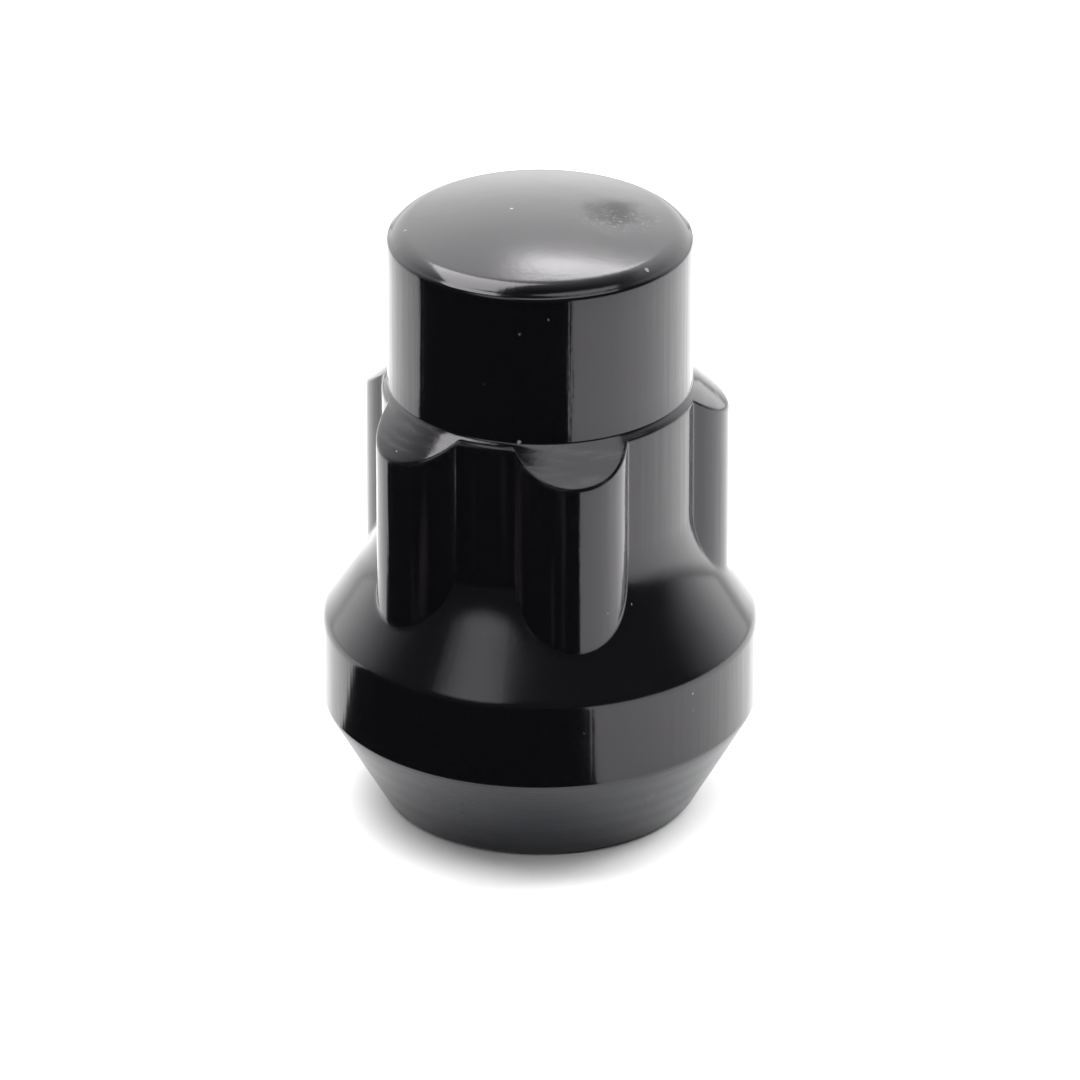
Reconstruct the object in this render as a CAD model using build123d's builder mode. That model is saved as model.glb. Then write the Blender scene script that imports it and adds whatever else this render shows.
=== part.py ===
# Locking wheel nut: one closed-end steel forging with a plain round head, five unevenly spaced
# round splines, a round collar and a 60 degree conical seat around the open, threaded end.
# Millimetres. +Z runs up the nut's axis to the head, and the origin is the centre of the flat
# annular end face that the nut stands on.
import os
from math import hypot, radians, sqrt, tan

from build123d import *

# Whole nut
nut_length = 37.0

# Plain head above the splines
head_diameter = 17.7
head_side_height = 9.1
crown_rise = 0.8
crown_chamfer_width = 1.15
crown_chamfer_height = 0.65
crown_rim_radius = 1.2
head_edge_radius = 0.35

# Shoulder: the cone that tops the splines and scallops them under the head
shoulder_angle = 42.5
groove_ledge = 0.35

# Splines: round ridges, placed by angle around the axis from +X
spline_angles = (74, 140, 206, 270, 354)
spline_tip_diameter = 22.1
ridge_radius = 3.5
groove_root_radius = 0.35

# Flare from the groove floors out to the collar
flare_angle = 33.5
flare_root_radius = 8.0
collar_shoulder_radius = 1.2

# Collar and conical seat
collar_diameter = 25.4
collar_height = 5.2
collar_edge_radius = 0.25
seat_angle = 60.0
end_face_width = 1.1
seat_tip_radius = 0.4

# Blind threaded bore, left plain at the thread's minor diameter
thread_diameter = 14.0
thread_pitch = 1.5
counterbore_clearance = 1.0
counterbore_depth = 1.8
mouth_chamfer = 0.2
lead_in_ledge = 0.8
lead_in_angle = 45.0
end_wall = 4.0
drill_point_angle = 118.0

# Radii
head_radius = head_diameter / 2
crown_rim_r = head_radius - crown_chamfer_width
crown_dome_radius = (crown_rim_r**2 + crown_rise**2) / (2 * crown_rise)
groove_radius = head_radius + groove_ledge
spline_radius = spline_tip_diameter / 2
ridge_centre_r = spline_radius - ridge_radius
envelope_radius = spline_radius + groove_ledge
collar_radius = collar_diameter / 2
thread_radius = thread_diameter / 2
minor_radius = thread_radius - 5 / 8 * thread_pitch * sqrt(3) / 2
counterbore_radius = thread_radius + counterbore_clearance
end_face_radius = counterbore_radius + end_face_width
lead_in_radius = counterbore_radius - lead_in_ledge

# Heights above the end face
crown_rim_z = nut_length - crown_rise
head_top_z = crown_rim_z - crown_chamfer_height
head_foot_z = head_top_z - head_side_height
shoulder_slope = tan(radians(shoulder_angle))
groove_top_z = head_foot_z - groove_ledge * shoulder_slope
seat_top_z = (collar_radius - end_face_radius) / tan(radians(seat_angle / 2))
flare_foot_z = seat_top_z + collar_height
flare_top_z = flare_foot_z + (collar_radius - groove_radius) / tan(radians(flare_angle))
thread_start_z = counterbore_depth + (lead_in_radius - minor_radius) / tan(radians(lead_in_angle))
drill_tip_z = nut_length - end_wall
bore_end_z = drill_tip_z - minor_radius / tan(radians(drill_point_angle / 2))


def upright_edges_at(part, radius):
    """Straight upright edges at one distance from the nut's axis, without a circle's seam on +X."""
    tolerance = 1e-4
    upright = part.edges().filter_by(Axis.Z)
    ring = upright.filter_by(lambda e: abs(hypot(e.center().X, e.center().Y) - radius) < tolerance)
    return ring.filter_by(lambda e: abs(e.center().Y) > tolerance)


def corner_at(profile, r, z):
    """The corner of a half profile, drawn with radius across and height up, nearest to (r, z)."""
    return profile.vertices().sort_by_distance((r, z))[0]


# Cross-section of the splines: the grooves' floor circle with a round ridge at each angle
with BuildSketch(Plane.XY) as spline_section:
    Circle(groove_radius)
    for angle in spline_angles:
        with PolarLocations(ridge_centre_r, 1, start_angle=angle):
            Circle(ridge_radius)

# Shoulder envelope: what the splines keep under the cone below the head
with BuildSketch(Plane.XZ) as shoulder_profile:
    Polygon(
        (0, seat_top_z),
        (envelope_radius, seat_top_z),
        (envelope_radius, head_foot_z - (envelope_radius - head_radius) * shoulder_slope),
        (head_radius, head_foot_z),
        (0, head_foot_z),
        align=None,
    )

# Half profile of the round body, from the crown down to the end face
with BuildSketch(Plane.XZ) as body_profile:
    with BuildLine():
        Line((0, 0), (0, nut_length))
        RadiusArc((0, nut_length), (crown_rim_r, crown_rim_z), crown_dome_radius)
        Polyline(
            (crown_rim_r, crown_rim_z),
            (head_radius, head_top_z),
            (head_radius, head_foot_z),
            (groove_radius, groove_top_z),
            (groove_radius, flare_top_z),
            (collar_radius, flare_foot_z),
            (collar_radius, seat_top_z),
            (end_face_radius, 0),
            (0, 0),
        )
    make_face()
    fillet(corner_at(body_profile, crown_rim_r, crown_rim_z), crown_rim_radius)
    fillet(corner_at(body_profile, head_radius, head_top_z), head_edge_radius)
    fillet(corner_at(body_profile, groove_radius, flare_top_z), flare_root_radius)
    fillet(corner_at(body_profile, collar_radius, flare_foot_z), collar_shoulder_radius)
    fillet(corner_at(body_profile, collar_radius, seat_top_z), collar_edge_radius)
    fillet(corner_at(body_profile, end_face_radius, 0), seat_tip_radius)

# Half profile of the bore: mouth chamfer, counterbore, ledge, lead-in, thread bore, drill point
with BuildSketch(Plane.XZ) as bore_profile:
    Polygon(
        (0, 0),
        (counterbore_radius + mouth_chamfer, 0),
        (counterbore_radius, mouth_chamfer),
        (counterbore_radius, counterbore_depth),
        (lead_in_radius, counterbore_depth),
        (minor_radius, thread_start_z),
        (minor_radius, bore_end_z),
        (0, drill_tip_z),
        align=None,
    )

with BuildPart() as wheel_nut:
    extrude(spline_section.sketch, amount=head_foot_z)
    fillet(upright_edges_at(wheel_nut, groove_radius), groove_root_radius)
    revolve(shoulder_profile.sketch, axis=Axis.Z, mode=Mode.INTERSECT)
    revolve(body_profile.sketch, axis=Axis.Z)
    revolve(bore_profile.sketch, axis=Axis.Z, mode=Mode.SUBTRACT)

wheel_nut.part.label = "wheel_nut"
os.makedirs("parts", exist_ok=True)
export_step(wheel_nut.part, "parts/wheel_nut.step")

print("seat top", round(seat_top_z, 3), "flare", round(flare_foot_z, 3), round(flare_top_z, 3))
print("shoulder foot", round(head_foot_z - (spline_radius - head_radius) * shoulder_slope, 3))
print("thread from", round(thread_start_z, 3), "to", round(bore_end_z, 3), "at r", round(minor_radius, 4))
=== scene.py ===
# Locking wheel nut, black coated, standing on its open end in soft studio light
from math import acos, asin, atan2, cos, hypot, pi, radians, sin, tan

import bpy
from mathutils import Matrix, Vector


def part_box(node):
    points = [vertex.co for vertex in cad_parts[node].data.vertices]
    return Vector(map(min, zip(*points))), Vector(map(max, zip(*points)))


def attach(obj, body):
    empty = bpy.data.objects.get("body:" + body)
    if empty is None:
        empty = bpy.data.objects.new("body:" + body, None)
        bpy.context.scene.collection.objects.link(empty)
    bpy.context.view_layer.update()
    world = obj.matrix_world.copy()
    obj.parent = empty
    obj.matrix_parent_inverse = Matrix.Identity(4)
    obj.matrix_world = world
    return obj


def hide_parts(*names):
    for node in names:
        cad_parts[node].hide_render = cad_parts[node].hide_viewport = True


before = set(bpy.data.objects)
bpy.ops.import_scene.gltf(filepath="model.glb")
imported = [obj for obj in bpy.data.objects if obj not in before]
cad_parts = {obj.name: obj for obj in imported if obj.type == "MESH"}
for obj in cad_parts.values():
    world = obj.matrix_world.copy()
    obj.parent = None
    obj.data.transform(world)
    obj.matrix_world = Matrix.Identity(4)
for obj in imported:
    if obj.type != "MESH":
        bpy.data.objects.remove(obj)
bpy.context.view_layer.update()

mm = 0.001
turn = 2 * pi
lowest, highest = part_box("wheel_nut")
nutLength = highest.z - lowest.z
collarR = (highest.x - lowest.x) / 2
print("frame loaded, nut", round(nutLength / mm, 2), "long and", round(2 * collarR / mm, 2), "across")


# Small tools

cornerShare = 0.45  # the most of a side that a soft corner takes


def clearSelection():
    if bpy.context.object and bpy.context.object.mode != "OBJECT":
        bpy.ops.object.mode_set(mode="OBJECT")
    bpy.ops.object.select_all(action="DESELECT")


# Points on an arc from one angle to another, both ends included
def arcPoints(centre, radius, start, end, steps):
    angles = [start + (end - start) * i / steps for i in range(steps + 1)]
    return [(centre[0] + radius * cos(a), centre[1] + radius * sin(a)) for a in angles]


def linePoints(a, b, steps):
    return [(a[0] + (b[0] - a[0]) * i / steps, a[1] + (b[1] - a[1]) * i / steps) for i in range(steps + 1)]


# A rounded corner from a to b, pulled towards the corner between them
def softCorner(a, corner, b, steps):
    points = []
    for i in range(steps + 1):
        t = i / steps
        wa, wc, wb = (1 - t) ** 2, 2 * t * (1 - t), t**2
        points.append(tuple(wa * p + wc * q + wb * r for p, q, r in zip(a, corner, b)))
    return points


# The point that lies a given reach from a on the way to b, and always short of the middle
def towards(a, b, reach):
    length = hypot(b[0] - a[0], b[1] - a[1])
    t = min(reach / length, cornerShare) if length else 0
    return (a[0] + (b[0] - a[0]) * t, a[1] + (b[1] - a[1]) * t)


# The nut's outside: a turned body with five round splines pressed out of it

nut = {
    "headR": 8.85 * mm, "headSide": 9.1 * mm,
    "crownRise": 0.8 * mm, "chamferWidth": 1.15 * mm, "chamferDrop": 0.65 * mm,
    "rimSoft": 0.1 * mm, "chamferBulge": 0.17 * mm, "headEdgeSoft": 0.22 * mm, "headFootSoft": 0.08 * mm,
    "shoulderAngle": radians(42.5), "shoulderSoft": 0.22 * mm,
    "splineAngles": (74, 140, 206, 270, 354), "splineTipR": 11.05 * mm, "ridgeR": 3.5 * mm,
    "grooveR": 9.2 * mm, "rootSoft": 0.35 * mm, "footSoft": 0.3 * mm,
    "ridgeSteps": 17, "rootSteps": 5, "floorStep": radians(3), "flareSteps": 22,
    "flareAngle": radians(33.5), "flareRootR": 8.0 * mm, "collarShoulderR": 1.2 * mm,
    "collarHeight": 5.2 * mm, "collarEdge": 0.25 * mm,
    "seatAngle": radians(30), "endRingR": 9.1 * mm, "tipR": 0.4 * mm,
    "domeSteps": 12, "chamferSteps": 10, "wallSteps": 6, "cornerSteps": 5, "footCornerSteps": 3,
    "collarShoulderSteps": 8, "collarWallSteps": 3, "collarEdgeSteps": 4, "seatSteps": 5,
    "weld": 1e-4 * mm, "smoothAngle": radians(24),
}
bore = {
    "mouthR": 8.0 * mm, "mouthChamfer": 0.2 * mm, "depth": 1.8 * mm, "ledgeR": 7.2 * mm,
    "minorR": 6.1881 * mm, "endWall": 4.0 * mm, "pointAngle": radians(59),
}
headTopZ = nutLength - nut["crownRise"] - nut["chamferDrop"]
headFootZ = headTopZ - nut["headSide"]
seatTopZ = (collarR - nut["endRingR"]) / tan(nut["seatAngle"])
flareFootZ = seatTopZ + nut["collarHeight"]
flareTopZ = flareFootZ + (collarR - nut["grooveR"]) / tan(nut["flareAngle"])
flareArcTopZ = flareTopZ + nut["flareRootR"] * tan(nut["flareAngle"] / 2)
flareArcEndR = nut["grooveR"] + nut["flareRootR"] * (1 - cos(nut["flareAngle"]))


# Height of the flare's surface where its radius is r
def flareHeight(r):
    root, slope = nut["flareRootR"], nut["flareAngle"]
    if r <= flareArcEndR:
        return flareArcTopZ - root * sin(acos(1 - (r - nut["grooveR"]) / root))
    return flareFootZ + (collarR - r) / tan(slope)


def flareRadius(z):
    root, slope = nut["flareRootR"], nut["flareAngle"]
    if z >= flareHeight(flareArcEndR):
        return nut["grooveR"] + root * (1 - cos(asin(min(1, (flareArcTopZ - z) / root))))
    return collarR - (z - flareFootZ) * tan(slope)


# A spline's section from its tip down to the groove's floor, as angles from its middle and radii
def halfRidge():
    ridgeR, rootR, floorR = nut["ridgeR"], nut["rootSoft"], nut["grooveR"]
    middleR = nut["splineTipR"] - ridgeR
    toRidge, toAxis = ridgeR + rootR, floorR + rootR
    lean = acos((middleR**2 + toAxis**2 - toRidge**2) / (2 * middleR * toAxis))
    rootCentre = (toAxis * sin(lean), toAxis * cos(lean))
    ridgeEnd = atan2(rootCentre[1] - middleR, rootCentre[0])
    ridge = arcPoints((0, middleR), ridgeR, pi / 2, ridgeEnd, nut["ridgeSteps"])
    root = arcPoints(rootCentre, rootR, pi + ridgeEnd, 3 * pi / 2 - lean, nut["rootSteps"])
    return [(pi / 2 - atan2(y, x), hypot(x, y)) for x, y in ridge + root[1:]]


# One angle and one radius for each column of the mesh, all the way round
def columnTable():
    half = halfRidge()
    angles = [radians(a) for a in nut["splineAngles"]]
    columns = []
    for here, after in zip(angles, angles[1:] + [angles[0] + turn]):
        columns += [(here - a, r) for a, r in reversed(half[1:])]
        columns += [(here + a, r) for a, r in half]
        start, end = here + half[-1][0], after - half[-1][0]
        steps = round((end - start) / nut["floorStep"])
        columns += [(start + (end - start) * i / steps, nut["grooveR"]) for i in range(1, steps)]
    return columns


# Radius and height from the crown's centre to the head's foot, where every column is alike. The
# chamfer is a little round
def crownRows():
    rimR, rimZ = nut["headR"] - nut["chamferWidth"], nutLength - nut["crownRise"]
    domeR = (rimR**2 + nut["crownRise"] ** 2) / (2 * nut["crownRise"])
    domeEnd = acos((rimR - nut["rimSoft"]) / domeR)
    dome = arcPoints((0, nutLength - domeR), domeR, pi / 2, domeEnd, nut["domeSteps"])
    rim, edge, foot = (rimR, rimZ), (nut["headR"], headTopZ), (nut["headR"], headFootZ)
    soft = nut["headEdgeSoft"]
    upper = softCorner(towards(edge, rim, soft), edge, towards(edge, foot, soft), nut["cornerSteps"])
    across, down = upper[0][0] - rimR, rimZ - upper[0][1]
    lift = nut["chamferBulge"] / hypot(across, down)
    bulge = (rimR + across / 2 + down * lift, rimZ - down / 2 + across * lift)
    chamfer = softCorner(rim, bulge, upper[0], nut["chamferSteps"])
    side = linePoints(upper[-1], towards(foot, edge, nut["headFootSoft"]), nut["wallSteps"])
    return dome + chamfer + upper[1:] + side[1:]


# Rows from the head's foot down to the collar's shoulder, for a column of that radius
def splineRows(splineR):
    foot = (nut["headR"], headFootZ)
    shoulder = (splineR, headFootZ - (splineR - nut["headR"]) * tan(nut["shoulderAngle"]))
    flareZ = flareHeight(splineR)
    landing = (splineR, flareZ)
    lowerZ = flareZ - nut["footSoft"] * cos(nut["flareAngle"])
    lower = (flareRadius(lowerZ), lowerZ)
    footStart = towards(foot, (nut["headR"], headTopZ), nut["headFootSoft"])
    footEnd = towards(foot, shoulder, nut["headFootSoft"])
    footCorner = softCorner(footStart, foot, footEnd, nut["footCornerSteps"])
    shoulderTop = towards(shoulder, foot, nut["shoulderSoft"])
    shoulderEnd = towards(shoulder, landing, nut["shoulderSoft"])
    cone = linePoints(footCorner[-1], shoulderTop, nut["wallSteps"])
    crest = softCorner(shoulderTop, shoulder, shoulderEnd, nut["cornerSteps"])
    side = linePoints(shoulderEnd, towards(landing, shoulder, nut["footSoft"]), nut["wallSteps"])
    junction = softCorner(side[-1], landing, lower, nut["cornerSteps"])
    shoulderR = collarR - nut["collarShoulderR"] * tan(nut["flareAngle"] / 2) * sin(nut["flareAngle"])
    endZ = flareHeight(shoulderR)
    heights = [lowerZ + (endZ - lowerZ) * i / nut["flareSteps"] for i in range(nut["flareSteps"] + 1)]
    flare = [(flareRadius(z), z) for z in heights]
    return footCorner[1:] + cone[1:] + crest[1:] + side[1:] + junction[1:] + flare[1:]


# Rows from the collar's shoulder round the seat to the flat end face
def collarRows():
    r = nut["collarShoulderR"]
    centre = (collarR - r, flareFootZ - r * tan(nut["flareAngle"] / 2))
    shoulder = arcPoints(centre, r, nut["flareAngle"], 0, nut["collarShoulderSteps"])
    edge, tip = (collarR, seatTopZ), (nut["endRingR"], 0)
    soft, tipSoft = nut["collarEdge"], nut["tipR"]
    start, end = towards(edge, shoulder[-1], soft), towards(edge, tip, soft)
    upper = softCorner(start, edge, end, nut["collarEdgeSteps"])
    lower = softCorner(towards(tip, edge, tipSoft), tip, towards(tip, (0, 0), tipSoft), nut["cornerSteps"])
    side = linePoints(shoulder[-1], upper[0], nut["collarWallSteps"])
    seat = linePoints(upper[-1], lower[0], nut["seatSteps"])
    return shoulder[1:] + side[1:] + upper[1:] + seat[1:] + lower[1:]


# Rows from the mouth up the bore to the drill point's tip
def boreRows():
    ledgeZ, minorR = bore["depth"], bore["minorR"]
    tipZ = nutLength - bore["endWall"]
    wallEndZ = tipZ - minorR / tan(bore["pointAngle"])
    return [
        (bore["mouthR"] + bore["mouthChamfer"], 0),
        (bore["mouthR"], bore["mouthChamfer"]),
        (bore["mouthR"], ledgeZ),
        (bore["ledgeR"], ledgeZ),
        (minorR, ledgeZ + bore["ledgeR"] - minorR),
        (minorR, wallEndZ),
        (0, tipZ),
    ]


# A line of vertices drawn by extruding, one vertex for each row
def drawRows(name, rows):
    clearSelection()
    bpy.ops.mesh.primitive_plane_add(size=mm, location=(0, 0, 0))
    line = bpy.context.object
    line.name = line.data.name = name
    bpy.ops.object.mode_set(mode="EDIT")
    bpy.ops.mesh.select_mode(type="VERT")
    bpy.ops.mesh.select_all(action="SELECT")
    bpy.ops.mesh.merge(type="CENTER")
    bpy.ops.transform.translate(value=(rows[0][0], 0, rows[0][1]))
    for (r0, z0), (r1, z1) in zip(rows, rows[1:]):
        bpy.ops.mesh.extrude_region_move(TRANSFORM_OT_translate={"value": (r1 - r0, 0, z1 - z0)})
    bpy.ops.object.mode_set(mode="OBJECT")
    return line


# The line is spun into a closed body. Each vertex keeps its row
def spinBody(name, rows, columns):
    body = drawRows(name, rows)
    rowNumber = body.data.attributes.new("row", "INT", "POINT")
    rowNumber.data.foreach_set("value", range(len(rows)))
    bpy.ops.object.mode_set(mode="EDIT")
    bpy.ops.mesh.select_all(action="SELECT")
    bpy.ops.mesh.spin(steps=columns, angle=turn, center=(0, 0, 0), axis=(0, 0, 1), use_auto_merge=True)
    bpy.ops.mesh.select_all(action="SELECT")
    bpy.ops.mesh.remove_doubles(threshold=nut["weld"])
    bpy.ops.mesh.normals_make_consistent(inside=False)
    bpy.ops.object.mode_set(mode="OBJECT")
    return body


# Outside, each column of the spun body takes its own angle, and below the head its own radius
def pressSplines(body, crownCount, splineCount, outsideCount, columns):
    rowNumber = body.data.attributes["row"].data
    profiles = {round(r / mm, 6): splineRows(r) for _, r in columns}
    step = turn / len(columns)
    for vertex in body.data.vertices:
        r, z = hypot(vertex.co.x, vertex.co.y), vertex.co.z
        row = rowNumber[vertex.index].value
        if row == 0 or row >= outsideCount:
            continue
        angle, columnR = columns[round(atan2(vertex.co.y, vertex.co.x) / step) % len(columns)]
        if crownCount <= row < crownCount + splineCount:
            r, z = profiles[round(columnR / mm, 6)][row - crownCount]
        vertex.co = (r * cos(angle), r * sin(angle), z)


def makeNut():
    columns = columnTable()
    shift = round(columns[0][0] / turn * len(columns))
    columns = columns[-shift:] + columns[:-shift]
    crown, splines, collar = crownRows(), splineRows(nut["splineTipR"]), collarRows()
    outside = crown + splines + collar
    body = spinBody("wheelNut", outside + boreRows(), len(columns))
    pressSplines(body, len(crown), len(splines), len(outside), columns)
    print("nut body", len(body.data.vertices), "vertices,", len(columns), "columns")
    return body


# The thread, cut with a helical tap

thread = {
    "majorR": 7.0 * mm, "pitch": 1.5 * mm, "steps": 96, "tapRootR": 6.0 * mm,
    "startZ": -1.9 * mm, "fullTo": 26.0 * mm, "turns": 20, "runOut": 0.35, "flankAngle": radians(30),
    "crestShare": 1 / 8, "weld": 1e-3 * mm,
}


# The tap's profile: a run of sixty degree threads with narrow flats, closed to the axis at both ends
def tapRows():
    pitch, majorR, rootR, z = thread["pitch"], thread["majorR"], thread["tapRootR"], thread["startZ"]
    flank = (majorR - rootR) * tan(thread["flankAngle"])
    crest = pitch * thread["crestShare"]
    root = pitch - crest - 2 * flank
    rows = [(0, z), (rootR, z)]
    for _ in range(thread["turns"]):
        top = z + root + flank
        rows += [(rootR, z + root), (majorR, top), (majorR, top + crest), (rootR, z + pitch)]
        z += pitch
    return rows + [(0, z)]


# The profile is screwed into a closed tap, which grows thinner above the full thread
def makeTap():
    tap = drawRows("threadTap", tapRows())
    screw = tap.modifiers.new("Helix", "SCREW")
    screw.axis = "Z"
    screw.angle = turn
    screw.screw_offset = thread["pitch"]
    screw.steps = screw.render_steps = thread["steps"]
    screw.use_merge_vertices = False
    bpy.ops.object.modifier_apply(modifier=screw.name)
    bpy.ops.object.mode_set(mode="EDIT")
    bpy.ops.mesh.select_all(action="SELECT")
    bpy.ops.mesh.remove_doubles(threshold=thread["weld"])
    bpy.ops.mesh.select_all(action="DESELECT")
    bpy.ops.mesh.select_non_manifold(extend=False, use_wire=False, use_multi_face=False,
                                     use_non_contiguous=False, use_verts=False)
    bpy.ops.mesh.edge_face_add()
    bpy.ops.mesh.select_all(action="SELECT")
    bpy.ops.mesh.normals_make_consistent(inside=False)
    bpy.ops.object.mode_set(mode="OBJECT")
    for vertex in tap.data.vertices:
        r = hypot(vertex.co.x, vertex.co.y)
        limit = thread["majorR"] - max(0, vertex.co.z - thread["fullTo"]) * thread["runOut"]
        if r > limit:
            vertex.co.x *= limit / r
            vertex.co.y *= limit / r
    return tap


def cutThread(body):
    tap = makeTap()
    clearSelection()
    body.select_set(True)
    bpy.context.view_layer.objects.active = body
    cut = body.modifiers.new("Thread", "BOOLEAN")
    cut.operation = "DIFFERENCE"
    cut.solver = "EXACT"
    cut.object = tap
    bpy.ops.object.modifier_apply(modifier=cut.name)
    bpy.data.objects.remove(tap)
    bpy.ops.object.shade_smooth_by_angle(angle=nut["smoothAngle"])
    print("thread cut,", len(body.data.vertices), "vertices")


# Materials

# Roughness of each zone, from the dome down to the seat
roughness = {
    "Dome": 0.17, "Chamfer": 0.12, "Head": 0.09, "Spline": 0.11, "Flare": 0.16, "Collar": 0.14, "Seat": 0.24,
}
# How the zones meet: ways up and down from the edges that part them, and the slopes that tell upright faces
# and the flare, as the normal's height
zoneEdges = {
    "blend": 0.06 * mm, "underDome": 0.1 * mm, "overHead": 0.05 * mm, "overCollar": 0.2 * mm,
    "flareBlend": 0.6 * mm, "flareFrom": 0.03, "flareTo": 0.35, "uprightFull": 0.02, "uprightNone": 0.2,
}
coat = {
    "colour": (0.0026, 0.0026, 0.0036, 1), "gloss": (1, 0.965, 1, 1), "refraction": 1.5,
    "seatColour": (0.012, 0.014, 0.018, 1), "seatTone": 0.8,
    "boreRoughness": 0.3, "boreFrom": 0.05 * mm, "boreTo": 0.3 * mm,
    "cloudScale": 190, "cloudFrom": 0.3, "cloudTo": 0.7, "cloudLow": 0.88, "cloudHigh": 1.15,
    "peelScale": 420, "peelDepth": 0.012 * mm, "grainScale": 3200, "grainDepth": 0.003 * mm,
}
# Turned rings on the seat, fine ones and a slow ripple
rings = {"pitch": 0.19 * mm, "depth": 0.0014 * mm, "ripplePitch": 1.3 * mm, "rippleDepth": 0.0045 * mm}
# Upright streaks of the forging, with the coat thin along some
streaks = {
    "scale": 2300, "stretch": 0.035, "depth": 0.014 * mm,
    "thinScale": 900, "thinFrom": 0.54, "thinTo": 0.72, "thinColour": (0.014, 0.011, 0.013, 1),
}
# Faint scuffs round the shoulders
scuffs = {
    "scale": 2900, "stretch": 0.11, "from": 0.44, "to": 0.76, "reach": 2.6 * mm,
    "tone": 0.3, "dullness": 0.08,
}
# Dust specks, each in a cell of a pattern. They reach size times the sum of smallest and a chance of 0 to 1
dust = {
    "colour": (0.34, 0.33, 0.32, 1), "tone": 0.8, "dullness": 0.6,
    "scale": 620, "share": 0.3, "size": 0.085, "smallest": 0.35, "core": 0.4, "faintest": 0.25,
    "rag": 0.0002, "ragScale": 5200,
}
# Worn edges, told by how far the rounded normal leans from the true one
wear = {
    "colour": (0.09, 0.09, 0.1, 1), "reach": 0.16 * mm, "strength": 0.35, "dullness": 0.3, "samples": 4,
    "edgeFrom": 0.9, "edgeTo": 0.995, "patchScale": 900, "patchFrom": 0.5, "patchTo": 0.66,
}
# A rubbed spot on the dome, dull and finely speckled in front
rub = {
    "x": 4.3 * mm, "y": -0.4 * mm, "reach": 3.4 * mm, "rag": 3.0 * mm, "ragScale": 620, "dullness": 0.42,
    "speckScale": 4200, "speckFrom": 0.52, "speckTo": 0.74, "speckTone": 0.4, "speckDrop": 1.6 * mm,
}


# A node group with its input and output nodes; each socket is given by its name and kind
def newGroup(name, inputs, outputs):
    group = bpy.data.node_groups.new(name, "ShaderNodeTree")
    for label, kind in inputs.items():
        group.interface.new_socket(name=label, in_out="INPUT", socket_type="NodeSocket" + kind)
    for label, kind in outputs.items():
        group.interface.new_socket(name=label, in_out="OUTPUT", socket_type="NodeSocket" + kind)
    return group, group.nodes.new("NodeGroupInput"), group.nodes.new("NodeGroupOutput")


# One Math node; a number fills an input and a socket is linked to it
def mathNode(tree, operation, first, second=None, third=None, clamp=False):
    node = tree.nodes.new("ShaderNodeMath")
    node.operation = operation
    node.use_clamp = clamp
    for socket, value in zip(node.inputs, (first, second, third)):
        if isinstance(value, bpy.types.NodeSocket):
            tree.links.new(value, socket)
        elif value is not None:
            socket.default_value = value
    return node.outputs[0]


# A value moved from one range to another, smoothly or along a straight line
def mapRange(tree, value, start, end, outStart=0.0, outEnd=1.0, soft=True):
    node = tree.nodes.new("ShaderNodeMapRange")
    node.interpolation_type = "SMOOTHSTEP" if soft else "LINEAR"
    tree.links.new(value, node.inputs["Value"])
    node.inputs["From Min"].default_value = start
    node.inputs["From Max"].default_value = end
    node.inputs["To Min"].default_value = outStart
    node.inputs["To Max"].default_value = outEnd
    return node.outputs["Result"]


def noise(tree, place, scale, detail=2.0, harshness=0.5):
    node = tree.nodes.new("ShaderNodeTexNoise")
    tree.links.new(place, node.inputs["Vector"])
    node.inputs["Scale"].default_value = scale
    node.inputs["Detail"].default_value = detail
    node.inputs["Roughness"].default_value = harshness
    return node.outputs["Fac"]


# Distance from an axis, for two sockets measured across it
def distanceNode(tree, across, along):
    squares = [mathNode(tree, "MULTIPLY", way, way) for way in (across, along)]
    return mathNode(tree, "SQRT", mathNode(tree, "ADD", *squares))


# The height of a face's normal: 0 where it stands upright and 1 where it lies flat
def faceSlope(tree):
    geometry = tree.nodes.new("ShaderNodeNewGeometry")
    split = tree.nodes.new("ShaderNodeSeparateXYZ")
    tree.links.new(geometry.outputs["Normal"], split.inputs["Vector"])
    return split.outputs["Z"]


# Dust: sparse small ragged specks of uneven size and strength, a mask from 0 to 1
def dustGroup():
    group, fromOut, toOut = newGroup("dustSpecks", {"Vector": "Vector"}, {"Mask": "Float"})
    wobble = group.nodes.new("ShaderNodeTexNoise")
    group.links.new(fromOut.outputs["Vector"], wobble.inputs["Vector"])
    wobble.inputs["Scale"].default_value = dust["ragScale"]
    wobble.inputs["Detail"].default_value = 2.0
    push = group.nodes.new("ShaderNodeVectorMath")
    push.operation = "SCALE"
    group.links.new(wobble.outputs["Color"], push.inputs["Vector"])
    push.inputs["Scale"].default_value = dust["rag"]
    ragged = group.nodes.new("ShaderNodeVectorMath")
    group.links.new(fromOut.outputs["Vector"], ragged.inputs[0])
    group.links.new(push.outputs["Vector"], ragged.inputs[1])
    cells = group.nodes.new("ShaderNodeTexVoronoi")
    group.links.new(ragged.outputs["Vector"], cells.inputs["Vector"])
    cells.inputs["Scale"].default_value = dust["scale"]
    split = group.nodes.new("ShaderNodeSeparateColor")
    group.links.new(cells.outputs["Color"], split.inputs["Color"])
    chosen = mathNode(group, "LESS_THAN", split.outputs["Red"], dust["share"])
    uneven = mathNode(group, "ADD", split.outputs["Green"], dust["smallest"])
    reach = mathNode(group, "MULTIPLY", dust["size"], uneven)
    ratio = mathNode(group, "DIVIDE", cells.outputs["Distance"], reach)
    speck = mapRange(group, ratio, dust["core"], 1.0, 1.0, 0.0)
    strength = mapRange(group, split.outputs["Blue"], 0.0, 1.0, dust["faintest"], 1.0, False)
    speck = mathNode(group, "MULTIPLY", speck, strength)
    group.links.new(mathNode(group, "MULTIPLY", speck, chosen), toOut.inputs["Mask"])
    return group


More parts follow.
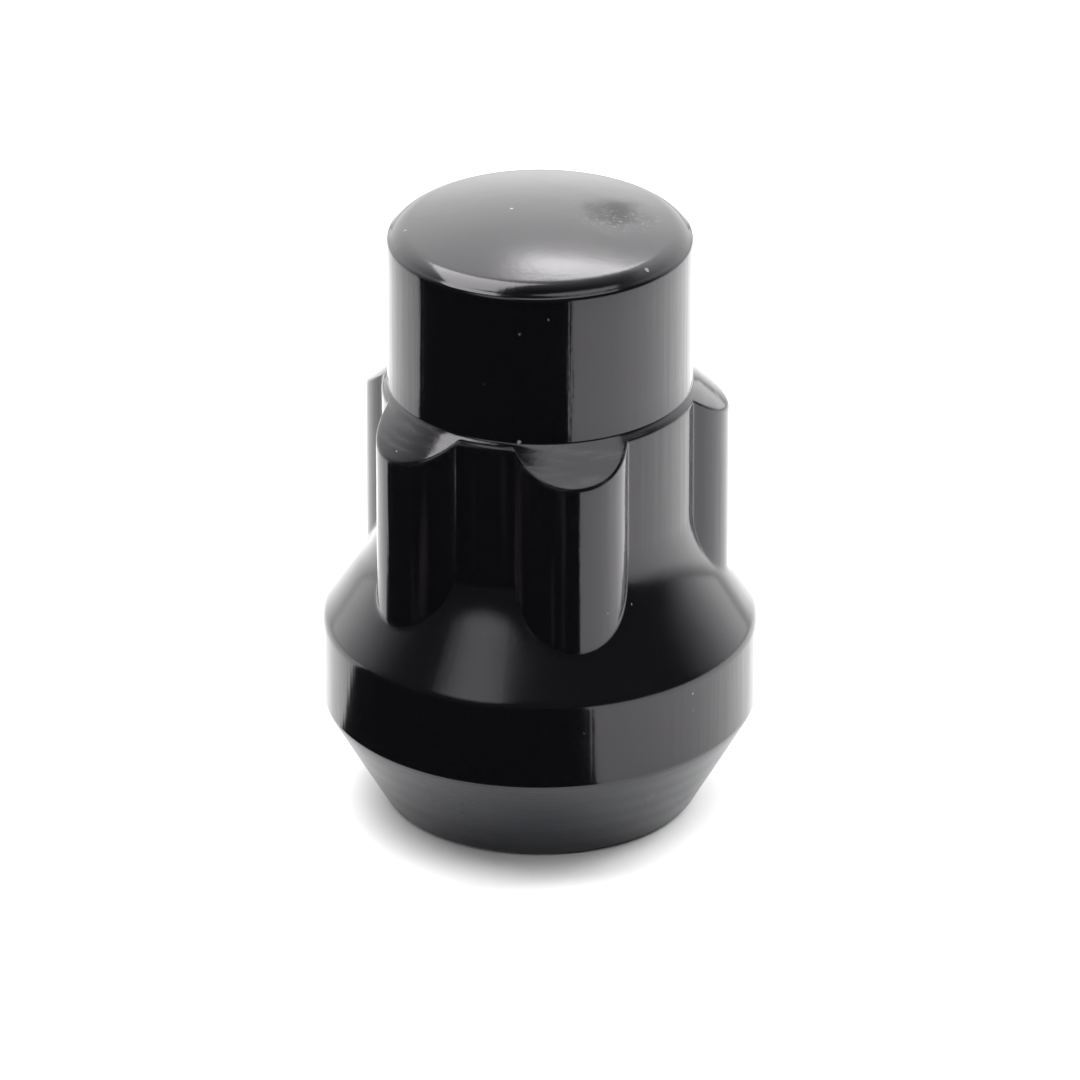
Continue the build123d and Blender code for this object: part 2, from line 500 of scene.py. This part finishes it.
# Edge wear: the rounded normal against the true one, broken up by noise
def wearGroup():
    group, fromOut, toOut = newGroup("edgeWear", {"Vector": "Vector"}, {"Mask": "Float"})
    bevel = group.nodes.new("ShaderNodeBevel")
    bevel.samples = wear["samples"]
    bevel.inputs["Radius"].default_value = wear["reach"]
    geometry = group.nodes.new("ShaderNodeNewGeometry")
    product = group.nodes.new("ShaderNodeVectorMath")
    product.operation = "DOT_PRODUCT"
    group.links.new(bevel.outputs["Normal"], product.inputs[0])
    group.links.new(geometry.outputs["Normal"], product.inputs[1])
    edge = mapRange(group, product.outputs["Value"], wear["edgeFrom"], wear["edgeTo"], 1.0, 0.0)
    cloud = noise(group, fromOut.outputs["Vector"], wear["patchScale"], 4.0, 0.65)
    patchy = mapRange(group, cloud, wear["patchFrom"], wear["patchTo"])
    group.links.new(mathNode(group, "MULTIPLY", edge, patchy), toOut.inputs["Mask"])
    return group


# Zones from the dome down to the seat: 0 to 1 masks that blend over a short way. The flare is told
# from the splines that stand on it by its slope
def zoneGroup():
    names = tuple(roughness)
    outputs = {name: "Float" for name in names + ("Upright",)}
    group, fromOut, toOut = newGroup("zones", {"Height": "Float"}, outputs)
    height = fromOut.outputs["Height"]
    domeFootZ = nutLength - nut["crownRise"] - zoneEdges["underDome"]
    chamferFootZ = headTopZ + zoneEdges["overHead"]
    feet = (domeFootZ, chamferFootZ, headFootZ, flareFootZ + zoneEdges["overCollar"], seatTopZ)
    above = [mapRange(group, height, z - zoneEdges["blend"], z + zoneEdges["blend"]) for z in feet]
    masks = [above[0]]
    for over, under in zip(above, above[1:]):
        masks.append(mathNode(group, "SUBTRACT", under, over, clamp=True))
    masks.append(mathNode(group, "SUBTRACT", 1.0, above[-1], clamp=True))
    slope = faceSlope(group)
    upright = mapRange(group, slope, zoneEdges["uprightFull"], zoneEdges["uprightNone"], 1.0, 0.0)
    group.links.new(upright, toOut.inputs["Upright"])
    sloping = mapRange(group, slope, zoneEdges["flareFrom"], zoneEdges["flareTo"])
    low = mapRange(group, height, flareArcTopZ, flareArcTopZ + zoneEdges["flareBlend"], 1.0, 0.0)
    spline = names.index("Spline")
    flare = mathNode(group, "MULTIPLY", mathNode(group, "MULTIPLY", sloping, low), masks[spline])
    masks[spline:spline + 1] = [mathNode(group, "SUBTRACT", masks[spline], flare, clamp=True), flare]
    for name, mask in zip(names, masks):
        group.links.new(mask, toOut.inputs[name])
    return group


# A ragged round spot around a centre on the dome: the spot, and fine specks inside it
def rubGroup():
    outputs = {"Spot": "Float", "Specks": "Float"}
    group, fromOut, toOut = newGroup("rubbedSpot", {"Vector": "Vector"}, outputs)
    place = fromOut.outputs["Vector"]
    split = group.nodes.new("ShaderNodeSeparateXYZ")
    group.links.new(place, split.inputs["Vector"])
    across = mathNode(group, "SUBTRACT", split.outputs["X"], rub["x"])
    along = mathNode(group, "SUBTRACT", split.outputs["Y"], rub["y"])
    away = distanceNode(group, across, along)
    uneven = mathNode(group, "SUBTRACT", noise(group, place, rub["ragScale"], 4.0, 0.6), 0.5)
    away = mathNode(group, "ADD", away, mathNode(group, "MULTIPLY", uneven, rub["rag"]))
    spot = mapRange(group, away, 0.0, rub["reach"], 1.0, 0.0)
    specks = noise(group, place, rub["speckScale"], 3.0, 0.6)
    specks = mapRange(group, specks, rub["speckFrom"], rub["speckTo"])
    front = mapRange(group, along, -rub["speckDrop"], rub["speckDrop"], 1.0, 0.0)
    specks = mathNode(group, "MULTIPLY", mathNode(group, "MULTIPLY", specks, front), spot)
    group.links.new(spot, toOut.inputs["Spot"])
    group.links.new(specks, toOut.inputs["Specks"])
    return group


# A node group with its inputs linked, given back as its outputs
def addGroup(tree, group, **inputs):
    node = tree.nodes.new("ShaderNodeGroup")
    node.node_tree = group
    for label, socket in inputs.items():
        tree.links.new(socket, node.inputs[label])
    return node.outputs


# A mask times a number mixes the second colour into the first; sockets 6 and 7 take the colours
def mixColour(tree, mask, share, first, second):
    node = tree.nodes.new("ShaderNodeMix")
    node.data_type = "RGBA"
    tree.links.new(mathNode(tree, "MULTIPLY", mask, share), node.inputs["Factor"])
    for socket, value in ((node.inputs[6], first), (node.inputs[7], second)):
        if isinstance(value, bpy.types.NodeSocket):
            tree.links.new(value, socket)
        else:
            socket.default_value = value
    return node.outputs[2]


# Object coordinates squeezed along the given axes, for streaks that run along them
def stretched(tree, place, scale):
    node = tree.nodes.new("ShaderNodeMapping")
    node.inputs["Scale"].default_value = scale
    tree.links.new(place, node.inputs["Vector"])
    return node.outputs["Vector"]


def blackCoat():
    material = bpy.data.materials.new("blackCoat")
    material.use_nodes = True
    tree = material.node_tree
    shader = tree.nodes["Principled BSDF"]
    place = tree.nodes.new("ShaderNodeTexCoord").outputs["Object"]
    split = tree.nodes.new("ShaderNodeSeparateXYZ")
    tree.links.new(place, split.inputs["Vector"])
    x, y, height = split.outputs
    zones = addGroup(tree, zoneGroup(), Height=height)

    # The bore: everything within the mouth's radius and below the blind end
    mouthR, away = bore["mouthR"], distanceNode(tree, x, y)
    inMouth = mapRange(tree, away, mouthR + coat["boreFrom"], mouthR + coat["boreTo"], 1.0, 0.0)
    below = mathNode(tree, "LESS_THAN", height, nutLength - bore["endWall"] / 2)
    inBore = mathNode(tree, "MULTIPLY", inMouth, below)

    # Streaks lie on the upright faces, and scuffs on the shoulders
    upright = mathNode(tree, "ADD", mathNode(tree, "ADD", zones["Head"], zones["Spline"]), zones["Collar"])
    upright = mathNode(tree, "MULTIPLY", upright, zones["Upright"])
    lengthwise = stretched(tree, place, (1, 1, streaks["stretch"]))
    thin = noise(tree, lengthwise, streaks["thinScale"])
    thin = mapRange(tree, thin, streaks["thinFrom"], streaks["thinTo"])
    thin = mathNode(tree, "MULTIPLY", thin, mathNode(tree, "MULTIPLY", upright, zones["Spline"]))
    onShoulder = mathNode(tree, "GREATER_THAN", height, headFootZ - scuffs["reach"])
    leaning = mathNode(tree, "MULTIPLY", zones["Spline"], mathNode(tree, "SUBTRACT", 1.0, zones["Upright"]))
    around = stretched(tree, place, (scuffs["stretch"], scuffs["stretch"], 1))
    scuff = mapRange(tree, noise(tree, around, scuffs["scale"], 3.0), scuffs["from"], scuffs["to"])
    scuff = mathNode(tree, "MULTIPLY", mathNode(tree, "MULTIPLY", scuff, onShoulder), leaning)

    # Dust, worn edges and the rubbed spot
    specks = addGroup(tree, dustGroup(), Vector=place)["Mask"]
    worn = addGroup(tree, wearGroup(), Vector=place)["Mask"]
    worn = mathNode(tree, "MULTIPLY", worn, wear["strength"])
    rubbed = addGroup(tree, rubGroup(), Vector=place)
    spot = mathNode(tree, "MULTIPLY", rubbed["Spot"], zones["Dome"])
    rubSpecks = mathNode(tree, "MULTIPLY", rubbed["Specks"], zones["Dome"])

    colour = mixColour(tree, zones["Seat"], coat["seatTone"], coat["colour"], coat["seatColour"])
    colour = mixColour(tree, thin, 1.0, colour, streaks["thinColour"])
    colour = mixColour(tree, scuff, scuffs["tone"], colour, wear["colour"])
    colour = mixColour(tree, worn, 1.0, colour, wear["colour"])
    colour = mixColour(tree, rubSpecks, rub["speckTone"], colour, dust["colour"])
    colour = mixColour(tree, specks, dust["tone"], colour, dust["colour"])

    # Roughness: one for each zone, cloudy in places, and more where the coat is marked
    rough = 0.0
    for name, value in roughness.items():
        rough = mathNode(tree, "MULTIPLY_ADD", zones[name], value, rough)
    toBore = mathNode(tree, "SUBTRACT", coat["boreRoughness"], rough)
    rough = mathNode(tree, "MULTIPLY_ADD", toBore, inBore, rough)
    cloud = noise(tree, place, coat["cloudScale"], 3.0)
    cloud = mapRange(tree, cloud, coat["cloudFrom"], coat["cloudTo"], coat["cloudLow"], coat["cloudHigh"])
    rough = mathNode(tree, "MULTIPLY", rough, cloud)
    for mask, dullness in ((scuff, scuffs["dullness"]), (spot, rub["dullness"]), (specks, dust["dullness"])):
        rough = mathNode(tree, "MULTIPLY_ADD", mask, dullness, rough)
    rough = mathNode(tree, "MULTIPLY_ADD", worn, wear["dullness"], rough, clamp=True)

    # Relief: slight orange peel, fine grain, upright forging streaks and turned rings on the seat
    peel = mathNode(tree, "MULTIPLY", noise(tree, place, coat["peelScale"], 1.5), coat["peelDepth"])
    grain = mathNode(tree, "MULTIPLY", noise(tree, place, coat["grainScale"]), coat["grainDepth"])
    streak = mathNode(tree, "MULTIPLY", noise(tree, lengthwise, streaks["scale"]), streaks["depth"])
    streak = mathNode(tree, "MULTIPLY", streak, upright)
    fine = mathNode(tree, "SINE", mathNode(tree, "MULTIPLY", height, turn / rings["pitch"]))
    ripple = mathNode(tree, "SINE", mathNode(tree, "MULTIPLY", height, turn / rings["ripplePitch"]))
    ring = mathNode(tree, "MULTIPLY", fine, rings["depth"])
    ring = mathNode(tree, "MULTIPLY_ADD", ripple, rings["rippleDepth"], ring)
    onSeat = mathNode(tree, "MULTIPLY", zones["Seat"], mathNode(tree, "SUBTRACT", 1.0, inBore))
    ring = mathNode(tree, "MULTIPLY", ring, onSeat)
    relief = mathNode(tree, "ADD", mathNode(tree, "ADD", peel, grain), mathNode(tree, "ADD", ring, streak))
    bump = tree.nodes.new("ShaderNodeBump")
    bump.inputs["Strength"].default_value = 1.0
    bump.inputs["Distance"].default_value = 1.0
    tree.links.new(relief, bump.inputs["Height"])

    tree.links.new(colour, shader.inputs["Base Color"])
    tree.links.new(rough, shader.inputs["Roughness"])
    tree.links.new(bump.outputs["Normal"], shader.inputs["Normal"])
    shader.inputs["IOR"].default_value = coat["refraction"]
    shader.inputs["Specular Tint"].default_value = coat["gloss"]
    return material


# A plain material with no gloss
def matte(name, tone, rough):
    material = bpy.data.materials.new(name)
    material.use_nodes = True
    shader = material.node_tree.nodes["Principled BSDF"]
    shader.inputs["Base Color"].default_value = (tone, tone, tone, 1)
    shader.inputs["Roughness"].default_value = rough
    shader.inputs["Specular IOR Level"].default_value = 0
    return material


# Floor, light and camera

view = {
    "azimuth": radians(-12), "elevation": radians(24.7), "distance": 0.7, "aim": Vector((0, 0, 0.016)),
    "lens": 405, "sensor": 36,
}


# A place seen from the nut: azimuth 0 is towards the camera, and it grows to the camera's right
def fromCamera(azimuth, elevation, distance):
    angle = -pi / 2 + view["azimuth"] + azimuth
    flat = distance * cos(elevation)
    return Vector((flat * cos(angle), flat * sin(angle), distance * sin(elevation)))


ground = {"size": 6, "tone": 0.85, "roughness": 0.9}


def makeFloor():
    clearSelection()
    bpy.ops.mesh.primitive_plane_add(size=ground["size"], location=(0, 0, 0))
    floor = bpy.context.object
    floor.name = "floor"
    floor.data.materials.append(matte("paleFloor", ground["tone"], ground["roughness"]))


flag = {
    "left": radians(-97), "right": radians(22), "innerR": 17 * mm, "outerR": 2.2, "height": 0.4 * mm,
    "steps": 24, "tone": 0.004, "roughness": 1.0,
}


# A black card laid in front, seen only in the gloss
def makeFlag():
    clearSelection()
    bpy.ops.mesh.primitive_plane_add(size=mm, location=(0, 0, 0))
    card = bpy.context.object
    card.name = "blackCard"
    start, reach = fromCamera(flag["left"], 0, 1), flag["outerR"] - flag["innerR"]
    bpy.ops.object.mode_set(mode="EDIT")
    bpy.ops.mesh.select_all(action="SELECT")
    bpy.ops.mesh.merge(type="CENTER")
    bpy.ops.transform.translate(value=start * flag["innerR"] + Vector((0, 0, flag["height"])))
    bpy.ops.mesh.extrude_region_move(TRANSFORM_OT_translate={"value": start * reach})
    bpy.ops.mesh.select_all(action="SELECT")
    sweep = flag["left"] - flag["right"]
    bpy.ops.mesh.spin(steps=flag["steps"], angle=sweep, center=(0, 0, 0), axis=(0, 0, 1))
    bpy.ops.object.mode_set(mode="OBJECT")
    card.data.materials.append(matte("cardBlack", flag["tone"], flag["roughness"]))
    card.visible_camera = False
    card.visible_diffuse = False
    card.visible_shadow = False
    card.visible_transmission = False


# Lights seen from the nut, in degrees and metres, each set by how bright its face is
softboxes = {
    "backLeft": {"azimuth": -117, "elevation": 65, "distance": 0.6, "size": (0.5, 0.3), "radiance": 7},
    "backRight": {"azimuth": 172, "elevation": 47, "distance": 0.6, "size": (0.17, 0.07), "radiance": 9},
    "frontTop": {"azimuth": 26, "elevation": 61, "distance": 0.6, "size": (0.66, 0.24), "radiance": 2.4},
    "overhead": {"azimuth": 0, "elevation": 89, "distance": 0.7, "size": (0.6, 0.6), "radiance": 2.2,
                 "inGloss": False},
    "floorRight": {"azimuth": 110, "elevation": 45, "distance": 0.17, "size": (0.08, 0.08), "radiance": 12,
                   "inGloss": False},
}


# A flat light that looks at the nut
def softbox(name, azimuth, elevation, distance, size, radiance, inGloss=True):
    data = bpy.data.lights.new(name, "AREA")
    data.shape = "RECTANGLE"
    data.size, data.size_y = size
    data.energy = radiance * pi * size[0] * size[1]
    light = bpy.data.objects.new(name, data)
    light.location = fromCamera(radians(azimuth), radians(elevation), distance)
    light.rotation_euler = (-light.location).to_track_quat("-Z", "Y").to_euler()
    light.visible_glossy = inGloss
    bpy.context.scene.collection.objects.link(light)


# The room: dark in front, bright behind and darker overhead, with a soft glow in front on the left
room = {
    "darkAt": -0.15, "brightAt": 0.75, "dark": 0.06, "bright": 2.6,
    "glowAzimuth": radians(-38), "glowElevation": radians(34), "glowReach": radians(21), "glow": 1.8,
    "capFrom": sin(radians(47)), "capTo": sin(radians(57)), "cap": 0.35,
}


def lightWorld():
    world = bpy.data.worlds.new("studio")
    bpy.context.scene.world = world
    world.use_nodes = True
    tree = world.node_tree
    background = tree.nodes["Background"]
    place = tree.nodes.new("ShaderNodeTexCoord").outputs["Generated"]

    def along(direction):
        product = tree.nodes.new("ShaderNodeVectorMath")
        product.operation = "DOT_PRODUCT"
        tree.links.new(place, product.inputs[0])
        product.inputs[1].default_value = direction
        return product.outputs["Value"]

    behind = along(fromCamera(pi, 0, 1))
    glowing = along(fromCamera(room["glowAzimuth"], room["glowElevation"], 1))
    strength = mapRange(tree, behind, room["darkAt"], room["brightAt"], room["dark"], room["bright"])
    overhead = mapRange(tree, along((0, 0, 1)), room["capFrom"], room["capTo"], 1.0, room["cap"])
    strength = mathNode(tree, "MULTIPLY", strength, overhead)
    glow = mapRange(tree, glowing, cos(room["glowReach"]), 1.0, 0.0, room["glow"])
    tree.links.new(mathNode(tree, "ADD", strength, glow), background.inputs["Strength"])
    background.inputs["Color"].default_value = (1, 1, 1, 1)


def makeCamera():
    data = bpy.data.cameras.new("camera")
    data.lens, data.sensor_width = view["lens"], view["sensor"]
    camera = bpy.data.objects.new("camera", data)
    camera.location = Vector((0, 0, headTopZ)) + fromCamera(0, view["elevation"], view["distance"])
    camera.rotation_euler = (view["aim"] - camera.location).to_track_quat("-Z", "Y").to_euler()
    bpy.context.scene.collection.objects.link(camera)
    bpy.context.scene.camera = camera


wheelNut = makeNut()
cutThread(wheelNut)
wheelNut.data.materials.append(blackCoat())
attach(wheelNut, "root")
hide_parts("wheel_nut")

makeFloor()
makeFlag()
for name, values in softboxes.items():
    softbox(name, **values)
lightWorld()
makeCamera()
bpy.context.scene.view_settings.view_transform = "Standard"
print("stage set")
